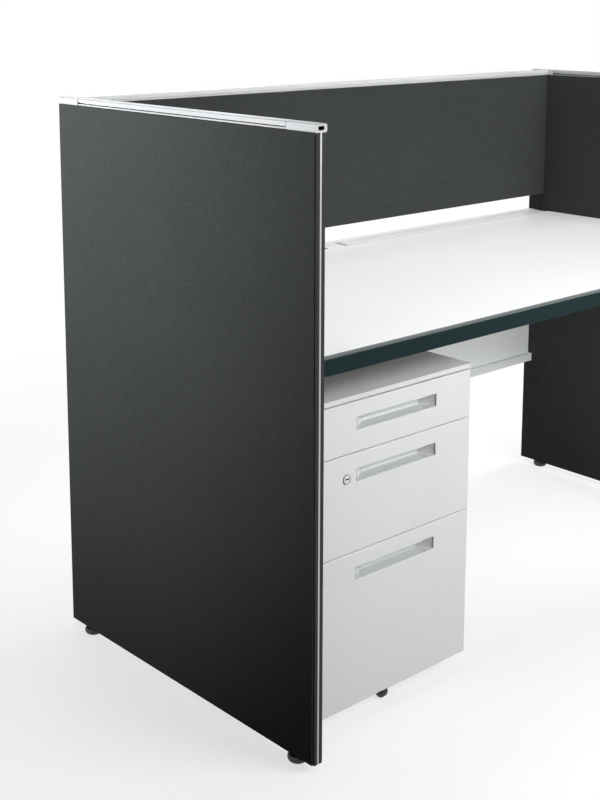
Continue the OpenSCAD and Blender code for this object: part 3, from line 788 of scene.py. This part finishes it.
# %% [markdown]
# ## The studio
# The desk stands on a pale floor in a white room. Two large soft lamps, above and in front, light
# the worktop and the drawers, and one behind the desk lights its back. The front lamp reaches the
# worktop's front edge best, so a narrow lamp over its rear half evens that out. A small lamp at
# the left rakes across the end panel, so the cloth darkens from its top rear corner to its foot.
# A weak one in the knee space keeps the modesty panel pale, and one at the right lights the right
# end panel for views from that side.


# %% Light the desk
def lamp(name, place, target, width, height, power):
    data = bpy.data.lights.new(name, "AREA")
    data.shape, data.size, data.size_y, data.energy = "RECTANGLE", width, height, power
    light = bpy.data.objects.new(name, data)
    scene.collection.objects.link(light)
    light.location = place
    light.rotation_euler = (Vector(target) - Vector(place)).to_track_quat("-Z", "Y").to_euler()
    light.visible_camera = False
    return data


lamp("overhead_lamp", (-0.2, 0.35, 3.2), (0.0, 0.25, 0.6), 2.4, 2.0, 41)
lamp("worktop_lamp", (0.1, 0.14, 2.2), (0.1, 0.2, 0.7), 1.3, 0.2, 2.8)
lamp("front_lamp", (0.45, -2.15, 1.66), (-0.35, -0.3, 0.8), 1.5, 0.9, 59.5)
lamp("knee_lamp", (0.34, -0.35, 0.45), (0.48, 0.35, 0.4), 0.66, 0.3, 2.3)
left_lamp = lamp("left_lamp", (-2.75, 0.0, 1.0), (-0.75, 0.65, 1.3), 0.4, 0.3, 22)
left_lamp.spread = math.radians(84)
lamp("right_lamp", (2.9, 0.3, 0.9), (0.75, 0.05, 0.6), 0.8, 0.8, 52)
lamp("rear_lamp", (1.0, 3.4, 2.2), (0.0, 0, 0.6), 2.6, 2.0, 45)

# %% [markdown]
# The room is white to the camera, in reflections and through glass, but it gives the desk only a
# little light. A Light Path node tells the two kinds of ray apart, and the backdrop can then be
# white without washing out the cloth.


# %% Make the white room
def make_world():
    world = bpy.data.worlds.new("white_room")
    scene.world = world
    world.use_nodes = True
    tree = world.node_tree
    shade = tree.nodes["Background"]
    seen = tree.nodes.new("ShaderNodeBackground")
    shade.inputs["Color"].default_value = (1, 1, 1, 1)
    shade.inputs["Strength"].default_value = 0.09
    seen.inputs["Color"].default_value = (1, 1, 1, 1)
    path = tree.nodes.new("ShaderNodeLightPath")
    seen_by = path.outputs["Is Camera Ray"]
    for kind in ("Is Glossy Ray", "Is Transmission Ray"):
        either = tree.nodes.new("ShaderNodeMath")
        either.operation = "MAXIMUM"
        tree.links.new(seen_by, either.inputs[0])
        tree.links.new(path.outputs[kind], either.inputs[1])
        seen_by = either.outputs[0]
    mix = tree.nodes.new("ShaderNodeMixShader")
    tree.links.new(seen_by, mix.inputs[0])
    tree.links.new(shade.outputs[0], mix.inputs[1])
    tree.links.new(seen.outputs[0], mix.inputs[2])
    tree.links.new(mix.outputs[0], tree.nodes["World Output"].inputs["Surface"])


make_world()
print("a white room")

# %% [markdown]
# The floor shows white to the camera too, but sends back less light than it shows, least of all at
# the left. A third of what shows near the desk is paint, which takes the desk's shadow. Further
# out the floor goes over to an even white, so no edge shows against the room.


# %% Make the floor
def make_floor():
    bpy.ops.mesh.primitive_plane_add(size=40, location=(0, 0, 0))
    floor = bpy.context.object
    floor.name = "studio_floor"
    ground = Finish("floor_paint", Roughness=0.9, Specular_IOR_Level=0.0)
    camera_ray = ground.node("ShaderNodeLightPath", output="Is Camera Ray")
    glossy_ray = ground.node("ShaderNodeLightPath", output="Is Glossy Ray")
    path = camera_ray.larger(glossy_ray)
    bounce = ground.blend(ground.x.step(-1.0, -0.5), (0.05, 0.05, 0.05), (0.16, 0.16, 0.16))
    ground.feed("Base Color", ground.blend(path, bounce, (0.93, 0.93, 0.93)))
    out = (ground.x * ground.x + ground.y * ground.y).root()
    white = ground.node("ShaderNodeEmission", sockets={"Color": (1, 1, 1, 1), "Strength": 1.0})
    far = (out.step(1.2, 2.4) * 0.35 + 0.65) * path
    mix = ground.tree.nodes.new("ShaderNodeMixShader")
    ground.tree.links.new(far.socket, mix.inputs[0])
    ground.tree.links.new(ground.shader.outputs[0], mix.inputs[1])
    ground.tree.links.new(white.socket, mix.inputs[2])
    ground.tree.links.new(mix.outputs[0], ground.tree.nodes["Material Output"].inputs["Surface"])
    floor.data.materials.append(ground.material)


make_floor()
